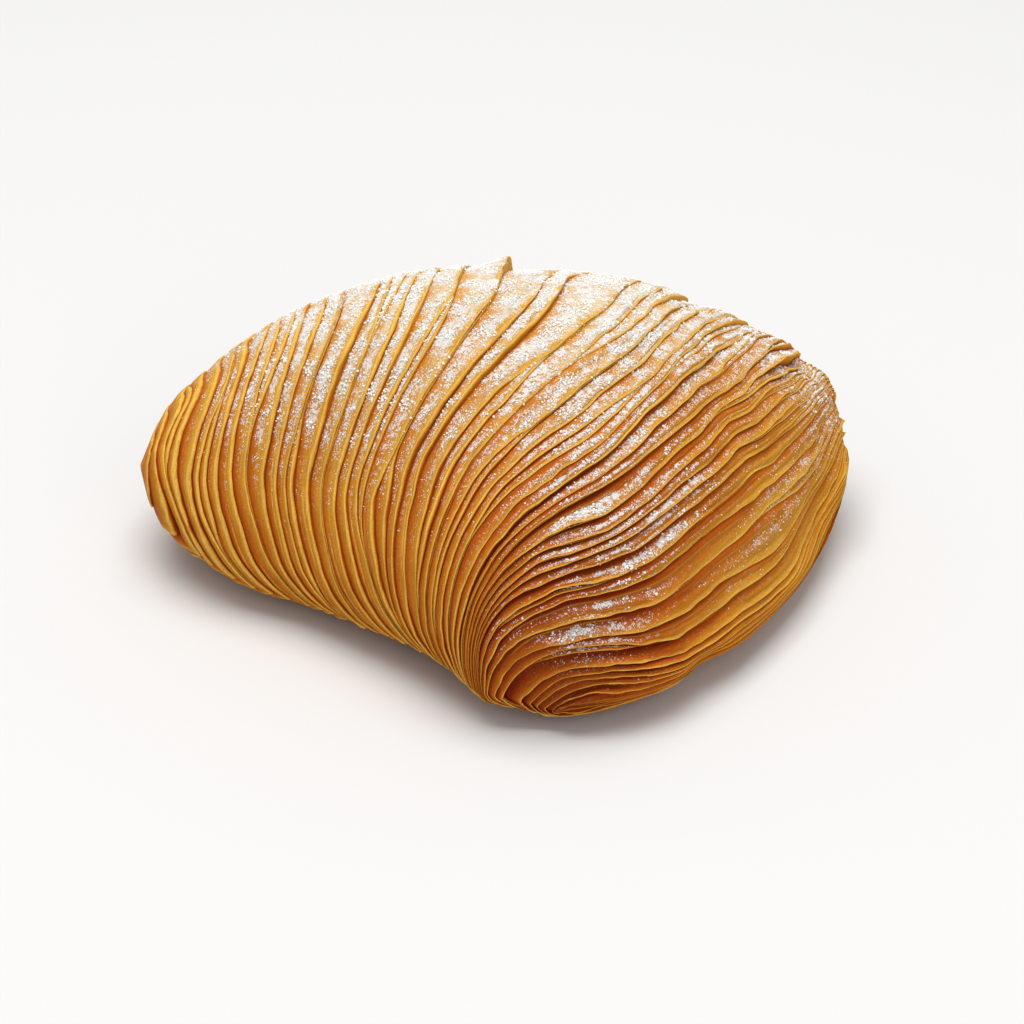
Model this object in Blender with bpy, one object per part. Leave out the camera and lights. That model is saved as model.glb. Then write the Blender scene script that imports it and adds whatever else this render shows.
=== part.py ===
"""Sfogliatella riccia: a fan-shaped pastry of thin crisp folds, resting on its flat base.

Every fold is a closed ring round the body. The folds bunch together at two pinched corners,
one at the front (-Y) and one far to the right (+X, +Y), and fan out over the crest between
them. Each fold's free edge lies over the start of the next one, from the rounded nose (-X) to
the mouth (+X, -Y), where the last folds close on each other.
"""
import math

import bmesh
import bpy
import numpy as np

MM = 0.001

# Driving dimensions of the whole pastry
LENGTH = 112.0 * MM
WIDTH = 81.0 * MM
HEIGHT = 49.5 * MM

# Folds
FOLDS = 28
COLUMNS = 56            # points round one fold, a multiple of four
FOLD_DEPTH = 1.9 * MM   # how far a crease lies below the free edge beside it
DEPTH_TO_PITCH = 0.62   # where folds crowd together, a crease is this share of their spacing
FOLD_PROFILE = ((0.00, 0.00), (0.42, 0.66), (0.90, 1.00))   # (share of the fold, share of the depth)
WANDER = 0.24           # how far a free edge wanders sideways, as a share of a fold
UNEVEN = 0.35           # how much the folds differ in depth

# One flake on the crest stands up out of its fold
RAISED_FOLD = 13
RAISED_TURN = 0.285
RAISED_SPREAD = 0.022
RAISED_HEIGHT = 1.5 * MM

# The relief dies out towards the flat base
BASE_FLAT = 0.4 * MM
BASE_FULL = 4.5 * MM

NOSE_BULGE = 0.3 * MM
MOUTH_BULGE = 1.2 * MM

CRUST_COLOUR = (0.46, 0.215, 0.052, 1.0)
CRUST_ROUGHNESS = 0.55

# Four rails that every fold runs round, in millimetres, from the nose (share 0) to the mouth
# (share 1): (share, x, y, z, angle). On the front and back rails the angle is the fold's lean
# off the vertical, on the crest and keel rails its heading off the length.
RAILS = {
    "front": (
        (0.00, -56.4, 9.0, 13.5, 0),
        (0.03, -54.9, 3.0, 11.5, -15),
        (0.12, -44.5, -6.5, 7.0, -40),
        (0.28, -26.0, -16.0, 4.5, -58),
        (0.44, -10.0, -29.0, 5.5, -52),
        (0.60, -3.0, -38.5, 6.0, -22),
        (0.80, 0.0, -41.0, 6.5, 0),
        (1.00, 6.0, -41.0, 4.0, 35),
    ),
    "crest": (
        (0.00, -56.4, 10.0, 17.5, 90),
        (0.03, -54.4, 10.0, 22.5, 88),
        (0.12, -44.5, 10.5, 32.2, 82),
        (0.28, -25.0, 10.0, 44.0, 74),
        (0.44, -3.0, 6.0, 49.0, 72),
        (0.60, 17.0, 0.0, 46.0, 65),
        (0.80, 32.5, -11.0, 31.5, 60),
        (1.00, 41.5, -20.5, 8.0, 56),
    ),
    "back": (
        (0.00, -56.4, 11.0, 15.5, 0),
        (0.03, -54.2, 18.0, 15.0, 0),
        (0.12, -44.0, 28.0, 14.0, -5),
        (0.28, -24.0, 36.0, 14.0, -10),
        (0.44, -1.0, 39.0, 15.0, -10),
        (0.60, 27.0, 38.0, 18.0, 0),
        (0.80, 53.0, 31.0, 18.5, 5),
        (1.00, 57.0, 20.0, 12.0, 12),
    ),
    "keel": (
        (0.00, -56.2, 10.0, 12.5, 90),
        (0.03, -53.0, 10.5, 7.0, 90),
        (0.12, -43.5, 10.0, 0.5, 84),
        (0.28, -25.0, 8.0, -3.0, 78),
        (0.44, -6.0, 4.0, -3.0, 72),
        (0.60, 12.0, 2.0, -3.0, 66),
        (0.80, 27.0, -7.0, -1.0, 60),
        (1.00, 40.5, -17.5, 3.0, 56),
    ),
}

# How full a fold swells between two rails: (share, leaving the first, reaching the second)
QUARTERS = (
    ("front", "crest", ((0.00, 0.60, 0.60), (0.60, 0.60, 0.60), (0.85, 0.70, 1.00), (1.00, 0.80, 1.05))),
    ("crest", "back", ((0.00, 0.60, 0.60), (0.60, 0.60, 0.60), (0.80, 0.60, 0.55), (1.00, 0.65, 0.65))),
    ("back", "keel", ((0.00, 0.60, 0.60), (0.50, 0.60, 0.60), (1.00, 0.70, 0.70))),
    ("keel", "front", ((0.00, 0.60, 0.60), (0.50, 0.60, 0.60), (0.80, 0.70, 0.60), (1.00, 0.90, 0.60))),
)


def smooth_step(low, high, value):
    t = np.clip((value - low) / (high - low), 0.0, 1.0)
    return t * t * (3.0 - 2.0 * t)


def along(rows, share):
    """Values at each share, on a smooth curve through rows of (share, value, value...)."""
    rows = np.asarray(rows, float)
    knots, values = rows[:, 0], rows[:, 1:]
    gap = np.diff(knots)[:, None]
    slope = np.diff(values, axis=0) / gap
    inner = (slope[:-1] * gap[1:] + slope[1:] * gap[:-1]) / (gap[1:] + gap[:-1])
    pull = np.vstack([slope[:1], inner, slope[-1:]])
    k = np.clip(np.searchsorted(knots, share, side="right") - 1, 0, len(knots) - 2)
    h = gap[k]
    u = (share - knots[k])[:, None] / h
    return ((2 * u**3 - 3 * u**2 + 1) * values[k] + (u**3 - 2 * u**2 + u) * h * pull[k]
            + (3 * u**2 - 2 * u**3) * values[k + 1] + (u**3 - u**2) * h * pull[k + 1])


def heading(rail, angle):
    """Unit direction in which a fold crosses a rail, going front, crest, back, keel."""
    a = np.radians(angle)
    side = 1.0 if rail in ("front", "crest") else -1.0
    zero = np.zeros_like(a)
    if rail in ("front", "back"):
        return side * np.stack([np.sin(a), zero, np.cos(a)], axis=1)
    return side * np.stack([np.cos(a), np.sin(a), zero], axis=1)


def handles(start, end, leave, arrive):
    """Lengths of a curve's two handles, to where the lines from its two ends would meet."""
    chord = end - start
    span = np.linalg.norm(chord, axis=1)
    both = (leave * arrive).sum(axis=1)
    along_leave = (chord * leave).sum(axis=1)
    along_arrive = (chord * arrive).sum(axis=1)
    spread = np.maximum(1.0 - both * both, 0.15)
    first = (along_leave - both * along_arrive) / spread
    second = (along_arrive - both * along_leave) / spread
    return np.clip(first, 0.12 * span, 1.3 * span), np.clip(second, 0.12 * span, 1.3 * span)


def smooth_form(share, turn):
    """Points of the body without its folds: share runs from nose to mouth, turn round a fold."""
    turn = turn % 1.0
    points = np.zeros((len(share), 3))
    for number, (first, second, fullness) in enumerate(QUARTERS):
        here = np.floor(turn * 4.0).astype(int) == number
        if not here.any():
            continue
        s = share[here]
        u = (turn[here] * 4.0 - number)[:, None]
        rail_a, rail_b = along(RAILS[first], s), along(RAILS[second], s)
        start, end = rail_a[:, :3] * MM, rail_b[:, :3] * MM
        leave, arrive = heading(first, rail_a[:, 3]), heading(second, rail_b[:, 3])
        out, back = handles(start, end, leave, arrive)
        full = along(fullness, s)
        pull_a = start + (full[:, 0] * out)[:, None] * leave
        pull_b = end - (full[:, 1] * back)[:, None] * arrive
        points[here] = ((1 - u)**3 * start + 3 * (1 - u)**2 * u * pull_a
                        + 3 * (1 - u) * u**2 * pull_b + u**3 * end)
    return points


def outward(share, turn):
    """Outward normal of the smooth form and the distance it covers per unit of share."""
    step = 0.004
    low, high = np.clip(share - step, 0.0, 1.0), np.clip(share + step, 0.0, 1.0)
    lengthwise = (smooth_form(high, turn) - smooth_form(low, turn)) / (high - low)[:, None]
    round_it = smooth_form(share, turn + step) - smooth_form(share, turn - step)
    normal = np.cross(round_it, lengthwise)
    normal /= np.linalg.norm(normal, axis=1)[:, None]
    return normal, np.linalg.norm(lengthwise, axis=1)


def fold_ring(fold, across, height):
    """One ring of a fold: across is the share of the fold, height the share of its depth."""
    turn = np.arange(COLUMNS) / COLUMNS
    wave = 2.0 * math.pi * turn
    ease = math.sin(math.pi * min(max(fold / FOLDS, 0.0), 1.0))
    wander = WANDER * ease * (0.6 * np.sin(wave + 1.9 * fold) + 0.4 * np.sin(3.0 * wave + 2.7 * fold))
    share = np.clip((fold + across + wander) / FOLDS, 0.0, 1.0)
    normal, pace = outward(share, turn)
    depth = np.minimum(FOLD_DEPTH, DEPTH_TO_PITCH * pace / FOLDS)
    depth = depth * (1.0 - UNEVEN * (0.5 + 0.5 * np.sin(2.3 * fold + 2.0 * wave)))
    points = smooth_form(share, turn)
    relief = -depth * (1.0 - height)
    if fold == RAISED_FOLD:
        relief = relief + RAISED_HEIGHT * height * np.exp(-((turn - RAISED_TURN) / RAISED_SPREAD)**2)
    relief = relief * smooth_step(BASE_FLAT, BASE_FULL, points[:, 2])
    return points + relief[:, None] * normal


def mouth_rings(rim):
    """The last two rings: the rim's upper and lower halves close towards each other."""
    mirror = rim[(-np.arange(COLUMNS)) % COLUMNS]
    seam = (rim + mirror) / 2.0
    away = seam - rim.mean(axis=0) * (0.55, 0.55, 1.0)
    away[:, 2] = 0.0
    away /= np.linalg.norm(away, axis=1)[:, None]
    gap = np.linalg.norm(rim - mirror, axis=1)[:, None]
    bulge = np.minimum(MOUTH_BULGE, 0.3 * gap)
    return (rim + seam) / 2.0 + 0.75 * bulge * away, seam + bulge * away


def build_body():
    """The whole pastry as one closed mesh."""
    rings = [fold_ring(fold, across, height if fold else 1.0)
             for fold in range(FOLDS) for across, height in FOLD_PROFILE]
    rings.append(smooth_form(np.ones(COLUMNS), np.arange(COLUMNS) / COLUMNS))
    half_way, seam = mouth_rings(rings[-1])

    mesh = bmesh.new()
    grid = [[mesh.verts.new(point) for point in ring] for ring in rings]
    rim = grid[-1]
    half = COLUMNS // 2
    ends = (0, half)
    grid.append([rim[c] if c in ends else mesh.verts.new(half_way[c]) for c in range(COLUMNS)])
    closing = {c: mesh.verts.new(seam[c]) for c in range(1, half)}
    grid.append([rim[c] if c in ends else closing[min(c, COLUMNS - c)] for c in range(COLUMNS)])

    nose = mesh.verts.new(rings[0].mean(axis=0) - (NOSE_BULGE, 0.0, 0.0))
    for c in range(COLUMNS):
        mesh.faces.new((nose, grid[0][c], grid[0][(c + 1) % COLUMNS]))
    for lower, upper in zip(grid, grid[1:]):
        for c in range(COLUMNS):
            n = (c + 1) % COLUMNS
            corners = [lower[c], upper[c], upper[n], lower[n]]
            face = [v for k, v in enumerate(corners) if v not in corners[:k]]
            if len(face) > 2:
                mesh.faces.new(face)
    for vert in mesh.verts:
        vert.co.z = max(vert.co.z, 0.0)
    bmesh.ops.triangulate(mesh, faces=mesh.faces[:], quad_method="SHORT_EDGE")
    bmesh.ops.recalc_face_normals(mesh, faces=mesh.faces[:])
    return mesh


def fit_to_size(mesh):
    """Scales the body to its driving dimensions and puts its base's centre at the origin."""
    points = np.array([vert.co for vert in mesh.verts])
    low, high = points.min(axis=0), points.max(axis=0)
    scale = np.array((LENGTH, WIDTH, HEIGHT)) / (high - low)
    centre = np.array(((low[0] + high[0]) / 2.0, (low[1] + high[1]) / 2.0, low[2]))
    for vert in mesh.verts:
        vert.co = (np.array(vert.co) - centre) * scale


def crust_material():
    material = bpy.data.materials.new("crust")
    material.use_nodes = True
    shader = material.node_tree.nodes["Principled BSDF"]
    shader.inputs["Base Color"].default_value = CRUST_COLOUR
    shader.inputs["Roughness"].default_value = CRUST_ROUGHNESS
    shader.inputs["Metallic"].default_value = 0.0
    return material


def main():
    for old in list(bpy.data.objects):
        bpy.data.objects.remove(old, do_unlink=True)
    collection = bpy.data.collections.new("sfogliatella")
    bpy.context.scene.collection.children.link(collection)

    body = build_body()
    fit_to_size(body)
    mesh = bpy.data.meshes.new("pastry")
    body.to_mesh(mesh)
    body.free()
    mesh.shade_smooth()
    mesh.set_sharp_from_angle(angle=math.radians(55.0))
    mesh.materials.append(crust_material())
    collection.objects.link(bpy.data.objects.new("pastry", mesh))


main()
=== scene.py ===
import math

import bpy
import numpy as np
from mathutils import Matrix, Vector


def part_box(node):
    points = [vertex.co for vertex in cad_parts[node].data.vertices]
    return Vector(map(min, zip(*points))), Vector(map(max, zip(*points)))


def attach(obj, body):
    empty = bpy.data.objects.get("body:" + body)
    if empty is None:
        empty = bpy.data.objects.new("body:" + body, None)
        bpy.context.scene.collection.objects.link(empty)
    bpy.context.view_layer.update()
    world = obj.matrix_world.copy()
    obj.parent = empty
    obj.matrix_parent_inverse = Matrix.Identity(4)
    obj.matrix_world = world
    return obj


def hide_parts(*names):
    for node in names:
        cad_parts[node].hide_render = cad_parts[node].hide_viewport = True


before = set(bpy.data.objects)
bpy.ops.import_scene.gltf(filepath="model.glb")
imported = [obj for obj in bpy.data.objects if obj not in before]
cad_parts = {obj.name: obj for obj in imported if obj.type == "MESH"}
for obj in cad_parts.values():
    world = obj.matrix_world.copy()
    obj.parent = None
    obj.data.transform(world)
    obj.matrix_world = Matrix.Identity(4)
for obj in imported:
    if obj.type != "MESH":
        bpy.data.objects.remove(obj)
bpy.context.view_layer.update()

nodeLow, nodeHigh = (np.array(corner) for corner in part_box("pastry"))
mm = 0.001

print("sfogliatella: frame loaded, box in mm", np.round((nodeHigh - nodeLow) / mm, 1))

# Four rails that every fold runs round, in mm before fitting, from the nose (share 0) to the
# mouth (share 1): (share, x, y, z, angle). On the front and back rails the angle is the fold's
# lean off the vertical, on the crest and keel rails its heading off the length.
rails = {
    "front": (
        (0.00, -56.4, 9.6, 14.2, 0),
        (0.03, -54.5, 3.4, 12.1, -15),
        (0.12, -44.5, -6.5, 7.0, -40),
        (0.28, -26.0, -16.0, 4.5, -58),
        (0.44, -10.0, -29.0, 5.5, -52),
        (0.60, -3.0, -38.5, 6.0, -22),
        (0.80, 0.0, -41.0, 6.5, 0),
        (1.00, 9.0, -41.0, 4.0, 45),
    ),
    "crest": (
        (0.00, -56.4, 10.0, 15.1, 90),
        (0.03, -53.8, 10.0, 20.8, 88),
        (0.12, -44.2, 10.5, 31.2, 82),
        (0.28, -25.0, 10.0, 43.4, 74),
        (0.44, -3.0, 6.0, 49.0, 72),
        (0.60, 17.0, 0.0, 46.0, 65),
        (0.80, 32.5, -11.0, 31.5, 60),
        (1.00, 41.5, -20.5, 8.0, 56),
    ),
    "back": (
        (0.00, -56.4, 10.4, 14.8, 0),
        (0.03, -54.2, 18.0, 15.0, 0),
        (0.12, -44.0, 28.0, 14.0, -5),
        (0.28, -24.0, 36.0, 14.0, -10),
        (0.44, -1.0, 39.0, 15.0, -10),
        (0.60, 27.0, 38.0, 18.0, 0),
        (0.80, 53.0, 31.0, 18.5, 5),
        (1.00, 57.0, 20.0, 12.0, 12),
    ),
    "keel": (
        (0.00, -56.3, 10.0, 13.8, 90),
        (0.03, -53.0, 10.5, 7.0, 90),
        (0.12, -43.5, 10.0, 0.5, 84),
        (0.28, -25.0, 8.0, -3.0, 78),
        (0.44, -6.0, 4.0, -3.0, 72),
        (0.60, 12.0, 2.0, -3.0, 66),
        (0.80, 27.0, -7.0, -1.0, 60),
        (1.00, 40.5, -17.5, 3.0, 56),
    ),
}

# how full a fold swells between two rails: (share, leaving the first, reaching the second)
quarters = (
    ("front", "crest", ((0.00, 0.60, 0.60), (0.60, 0.60, 0.60), (0.85, 0.70, 1.00), (1.00, 0.98, 1.05))),
    ("crest", "back", ((0.00, 0.60, 0.60), (0.60, 0.60, 0.60), (0.80, 0.60, 0.55), (1.00, 0.65, 0.65))),
    ("back", "keel", ((0.00, 0.60, 0.60), (0.50, 0.60, 0.60), (1.00, 0.70, 0.70))),
    ("keel", "front", ((0.00, 0.60, 0.60), (0.50, 0.60, 0.60), (0.80, 0.70, 0.60), (1.00, 0.90, 0.80))),
)

bodyForm = dict(
    shortestHandle=0.12,  # of a fold's curve from rail to rail, beside its span
    longestHandle=1.3,
    samples=(80, 96),     # along and round the body, to measure it as drawn
    mouthEnd=1.04,        # beyond share 1 the two halves of the last fold close on each other
    mouthBulge=1.4 * mm,
    mouthCore=0.55,       # how far out towards its middle the point lies that it bulges away from
    crestSpare=1.3 * mm,  # height kept for the one flake that stands up on the crest
)


def smoothStep(low, high, value):
    t = np.clip((value - low) / (high - low), 0.0, 1.0)
    return t * t * (3.0 - 2.0 * t)


def growing(least, low, high, value):
    # rises from least to 1 between low and high
    return least + (1 - least) * smoothStep(low, high, value)


def along(rows, share):
    # values on a smooth curve through rows of (share, value, value...)
    rows = np.asarray(rows, float)
    knots, values = rows[:, 0], rows[:, 1:]
    gap = np.diff(knots)[:, None]
    slope = np.diff(values, axis=0) / gap
    inner = (slope[:-1] * gap[1:] + slope[1:] * gap[:-1]) / (gap[1:] + gap[:-1])
    pull = np.vstack([slope[:1], inner, slope[-1:]])
    k = np.clip(np.searchsorted(knots, share, side="right") - 1, 0, len(knots) - 2)
    h = gap[k]
    u = (share - knots[k])[:, None] / h
    return ((2 * u**3 - 3 * u**2 + 1) * values[k] + (u**3 - 2 * u**2 + u) * h * pull[k]
            + (3 * u**2 - 2 * u**3) * values[k + 1] + (u**3 - u**2) * h * pull[k + 1])


def heading(rail, angle):
    # the way a fold crosses a rail, going front, crest, back, keel
    a = np.radians(angle)
    side = 1.0 if rail in ("front", "crest") else -1.0
    zero = np.zeros_like(a)
    if rail in ("front", "back"):
        return side * np.stack([np.sin(a), zero, np.cos(a)], axis=1)
    return side * np.stack([np.cos(a), np.sin(a), zero], axis=1)


def handles(start, end, leave, arrive):
    # lengths of a curve's two handles, to where the lines from its ends would meet
    chord = end - start
    span = np.linalg.norm(chord, axis=1)
    both = (leave * arrive).sum(axis=1)
    alongLeave = (chord * leave).sum(axis=1)
    alongArrive = (chord * arrive).sum(axis=1)
    spread = np.maximum(1.0 - both * both, 0.15)     # nearly straight curves stay short of dividing by 0
    shortest, longest = bodyForm["shortestHandle"] * span, bodyForm["longestHandle"] * span
    first = (alongLeave - both * alongArrive) / spread
    second = (alongArrive - both * alongLeave) / spread
    return np.clip(first, shortest, longest), np.clip(second, shortest, longest)


def drawnForm(share, turn):
    # points of the body without its folds, as drawn: share from nose to mouth, turn round a fold
    turn = turn % 1.0
    points = np.zeros((len(share), 3))
    for number, (first, second, fullness) in enumerate(quarters):
        here = np.floor(turn * 4.0).astype(int) == number
        if not here.any():
            continue
        s = share[here]
        u = (turn[here] * 4.0 - number)[:, None]
        railA, railB = along(rails[first], s), along(rails[second], s)
        start, end = railA[:, :3] * mm, railB[:, :3] * mm
        leave, arrive = heading(first, railA[:, 3]), heading(second, railB[:, 3])
        out, back = handles(start, end, leave, arrive)
        full = along(fullness, s)
        pullA = start + (full[:, 0] * out)[:, None] * leave
        pullB = end - (full[:, 1] * back)[:, None] * arrive
        points[here] = ((1 - u)**3 * start + 3 * (1 - u)**2 * u * pullA
                        + 3 * (1 - u) * u**2 * pullB + u**3 * end)
    return points


def footOf(low, high):
    # the middle of a box's lowest side
    return np.array(((low[0] + high[0]) / 2, (low[1] + high[1]) / 2, low[2]))


def fitScale():
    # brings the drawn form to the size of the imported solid
    rows, columns = bodyForm["samples"]
    share, turn = np.meshgrid(np.linspace(0, 1, rows), np.linspace(0, 1, columns, endpoint=False))
    drawn = drawnForm(share.ravel(), turn.ravel())
    drawn[:, 2] = np.maximum(drawn[:, 2], 0.0)
    low, high = drawn.min(axis=0), drawn.max(axis=0)
    room = nodeHigh - nodeLow
    room[2] -= bodyForm["crestSpare"]
    return room / (high - low), footOf(low, high), footOf(nodeLow, nodeHigh)


def mouthMiddle():
    # the point that the closed mouth bulges away from
    columns = bodyForm["samples"][1]
    mouth = drawnForm(np.ones(columns), np.linspace(0, 1, columns, endpoint=False))
    return mouth.mean(axis=0) * (bodyForm["mouthCore"], bodyForm["mouthCore"], 1.0)


formScale, formCentre, baseCentre = fitScale()
mouthCore = mouthMiddle()


def smoothForm(share, turn):
    # the drawn form at the frame's size, with the mouth closed beyond share 1
    points = drawnForm(np.minimum(share, 1.0), turn)
    beyond = share > 1.0
    if beyond.any():
        t = ((share[beyond] - 1.0) / (bodyForm["mouthEnd"] - 1.0)).clip(0, 1)[:, None]
        here = points[beyond]
        across = drawnForm(np.ones(beyond.sum()), 1.0 - turn[beyond])
        seam = (here + across) / 2
        away = seam - mouthCore
        away[:, 2] = 0.0
        away /= np.linalg.norm(away, axis=1)[:, None]
        bulge = np.minimum(bodyForm["mouthBulge"], 0.3 * np.linalg.norm(here - across, axis=1))[:, None]
        points[beyond] = here + (seam - here) * t + bulge * (1 - (1 - t)**2) * away
    return (points - formCentre) * formScale + baseCentre


def outwardAndPace(share, turn):
    # outward normal of the smooth form, and the metres it covers per unit of share
    step, end = 0.004, bodyForm["mouthEnd"]
    low, high = np.clip(share - step, 0.0, end), np.clip(share + step, 0.0, end)
    lengthwise = (smoothForm(high, turn) - smoothForm(low, turn)) / (high - low)[:, None]
    roundIt = smoothForm(share, turn + step) - smoothForm(share, turn - step)
    normal = np.cross(lengthwise, roundIt)
    normal /= np.linalg.norm(normal, axis=1)[:, None] + 1e-12
    return normal, np.linalg.norm(lengthwise, axis=1)


folds = dict(
    # share: a long fold's width in share
    pitch=((0.00, 0.020), (0.06, 0.026), (0.12, 0.027), (0.42, 0.026), (0.50, 0.030), (0.60, 0.026),
           (0.70, 0.023), (0.86, 0.021), (0.98, 0.018), (1.00, 0.011), (1.04, 0.011)),
    columns=560,          # points round one fold
    seed=11,
    uneven=0.16,          # how much whole folds differ in width
    changing=0.20,        # how much a fold's width changes along its length
    deepest=2.6 * mm,
    deeper=0.28,          # how much a crease's depth changes along its length
    wander=0.06 * mm,
    ripple=0.15 * mm,     # waves by the mouth, shared by neighbouring folds
    rippleSpacing=0.03,   # share from one row of waves to the next
    slowest=20 * mm,      # metres for a unit of share, below which the waves don't grow
    lift=0.12 * mm,
    tucked=0.35 * mm,     # how far a short fold's ends sink under the fold before it
    paired=0.45,          # deep and shallow creases take turns towards the mouth
    sheets=0.17 * mm,     # height of the thin sheets that end on top of a fold
    sheetPlaces=((0.34, 0.10), (0.70, 0.07)),     # across the fold, and how far they wander
    lastSheet=0.92,       # where the second sheet has to end, less the lip's width
    sheetGap=0.15,        # at least, from one sheet's edge to the next
    tip=0.12,             # up to this share the nose's folds are shallower and thinner
    tipDepth=0.20,        # at share 0
    tipThick=0.3,
    crisp=(0.05, 0.28),   # over these shares round soft folds turn into crisp thin ones
)

# the free edges: sizes beside the edge's own thickness, unless a note says otherwise
lips = dict(
    wide=0.55,
    widerOnNose=1.3,
    widest=0.15,          # beside the fold's width
    widestOnNose=0.25,    # more than that
    overhang=0.35,
    longestOverhang=0.2,  # beside the fold's width
    fullOverhang=0.8 * mm,     # depth of the next crease from which it is whole
    curl=0.15,
    mostCurl=0.05,        # beside the next crease's depth
    under=0.65,           # beside the next crease's depth: how far down the underside meets the next fold
)

# steps from a fold's crease (0) over the lip to where its underside ends
steps = dict(lip=0.60, top=0.68, edge=0.76, under=0.84, end=0.95)

# short folds between the long ones: share, the turn in the middle, how far they reach each way,
# width beside a long fold
shortFolds = (
    (0.075, 0.22, 0.12, 0.45), (0.150, 0.12, 0.08, 0.45), (0.215, 0.27, 0.13, 0.50),
    (0.300, 0.09, 0.07, 0.45), (0.335, 0.30, 0.10, 0.50), (0.400, 0.16, 0.09, 0.50),
    (0.445, 0.08, 0.06, 0.45), (0.520, 0.13, 0.09, 0.45), (0.560, 0.32, 0.11, 0.45),
    (0.600, 0.10, 0.08, 0.45), (0.650, 0.17, 0.08, 0.45), (0.690, 0.36, 0.13, 0.50),
    (0.870, 0.11, 0.06, 0.40), (0.955, 0.09, 0.06, 0.40),
)
# by the mouth short folds crowd in on the far side, some after each long fold
crowd = dict(
    shares=(0.72, 0.985),
    many=1,
    middle=0.47,
    reach=0.18,
    spread=0.025,
)

# how far the folds run back towards the nose where they gather at the near corner, and how far
# they lean to the mouth over the crest: share, shift in share
gathered = ((0.00, 0.0), (0.10, -0.035), (0.20, -0.04), (0.40, -0.01), (0.50, 0.03), (0.60, 0.085),
            (0.75, 0.15), (0.84, 0.185), (0.92, 0.13), (0.98, 0.095), (1.01, 0.05), (1.04, 0.0))
leaning = ((0.00, 0.0), (0.36, 0.0), (0.46, 0.015), (0.52, 0.040), (0.58, 0.055), (0.66, 0.030),
           (0.73, 0.005), (0.80, 0.0), (1.04, 0.0))

# tables over the body: a row for each of a few shares, with a value for each of these turns
tableTurns = (0.00, 0.06, 0.13, 0.20, 0.28, 0.38, 0.50, 0.62, 0.80, 1.00)

# how deep the creases are beside the folds' width
creases = (
    (0.00, (0.16, 0.18, 0.20, 0.20, 0.20, 0.20, 0.20, 0.20, 0.14, 0.16)),
    (0.15, (0.20, 0.24, 0.25, 0.25, 0.22, 0.18, 0.26, 0.32, 0.16, 0.20)),
    (0.35, (0.25, 0.28, 0.28, 0.24, 0.17, 0.12, 0.26, 0.36, 0.18, 0.25)),
    (0.46, (0.38, 0.38, 0.32, 0.26, 0.18, 0.12, 0.27, 0.38, 0.20, 0.38)),
    (0.53, (0.44, 0.42, 0.33, 0.24, 0.10, 0.04, 0.22, 0.38, 0.20, 0.44)),
    (0.61, (0.52, 0.52, 0.38, 0.26, 0.13, 0.06, 0.24, 0.38, 0.20, 0.52)),
    (0.70, (0.62, 0.66, 0.46, 0.30, 0.22, 0.16, 0.28, 0.38, 0.20, 0.62)),
    (0.85, (0.75, 0.85, 0.72, 0.42, 0.30, 0.26, 0.34, 0.40, 0.26, 0.75)),
    (1.00, (0.65, 0.70, 0.60, 0.38, 0.32, 0.36, 0.42, 0.40, 0.30, 0.65)),
    (1.04, (0.20, 0.20, 0.20, 0.20, 0.20, 0.20, 0.20, 0.20, 0.20, 0.20)),
)

# places where a fold is wider, lies deeper or stands up: share, turn, spread in share, spread in
# turn before and after, times wider, times deeper, lift in mm
accents = (
    (0.935, 0.275, 0.020, 0.045, 0.045, 2.2, 0.4, 0.0),
    (0.770, 0.140, 0.024, 0.050, 0.050, 1.4, 1.4, 0.1),
    (0.486, 0.352, 0.012, 0.035, 0.008, 1.0, 1.0, 1.5),
    (0.775, 0.390, 0.030, 0.050, 0.020, 2.2, 1.2, 1.0),
    (0.935, 0.470, 0.012, 0.035, 0.008, 1.0, 1.2, 0.7),
    (0.965, 0.475, 0.010, 0.035, 0.008, 1.0, 1.2, 0.7),
    (0.995, 0.402, 0.010, 0.030, 0.008, 1.0, 1.2, 0.8),
)

# folds that end in a drop, after which the pastry lies lower and rises again: share, turn, spread in
# turn, drop in mm, share until it has risen
terraces = (
    (0.482, 0.350, 0.085, 0.7, 0.12),
    (0.635, 0.375, 0.050, 1.3, 0.05),
    (0.700, 0.362, 0.045, 0.7, 0.05),
    (0.790, 0.400, 0.050, 1.6, 0.06),
    (0.875, 0.460, 0.035, 0.8, 0.05),
)

# soft dents: share, turn, spread in share, spread in turn, depth in mm
dents = (
    (1.02, 0.200, 0.040, 0.018, 1.0),
    (0.99, 0.335, 0.040, 0.032, 2.0),
    (1.02, 0.790, 0.070, 0.020, 1.5),
)

# rings across a fold from its crease towards its lip: 0 to 1 up to the first thin sheet's edge, to 2
# from there to the second's, and to 3 from there to the lip
topRings = (0.0, 0.10, 0.28, 0.56, 1.0, 1.02, 1.5, 2.0, 2.03, 2.5)


def columnTurns():
    # where the points round a fold lie: closer over the seen half, from the near corner over the crest
    fine = np.linspace(0, 1, 4001)
    seen = (smoothStep(0.93, 0.99, fine) + 1 - smoothStep(0.50, 0.58, fine)).clip(0, 1)
    close = 0.55 + seen
    total = np.concatenate([[0], np.cumsum((close[1:] + close[:-1]) / 2)])
    return np.interp(np.arange(folds["columns"]) / folds["columns"], total / total[-1], fine)


def roundWaves(rng, rows, turn, slowest, quickest, fade):
    # smooth uneven values round the folds, one row for each fold, about -1 to 1: a sum of waves, from
    # the slowest to the quickest number of them to a turn, that are smaller the quicker they are
    waves = np.zeros((rows, len(turn)))
    power = 0.0
    for beat in range(slowest, quickest + 1):
        size = beat ** -fade
        phase = rng.uniform(0, 2 * math.pi, rows)
        size = size * rng.uniform(0.5, 1.5, rows)
        waves += size[:, None] * np.cos(2 * math.pi * beat * turn[None, :] + phase[:, None])
        power += beat ** (-2 * fade) / 2
    return waves / math.sqrt(power)


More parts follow.
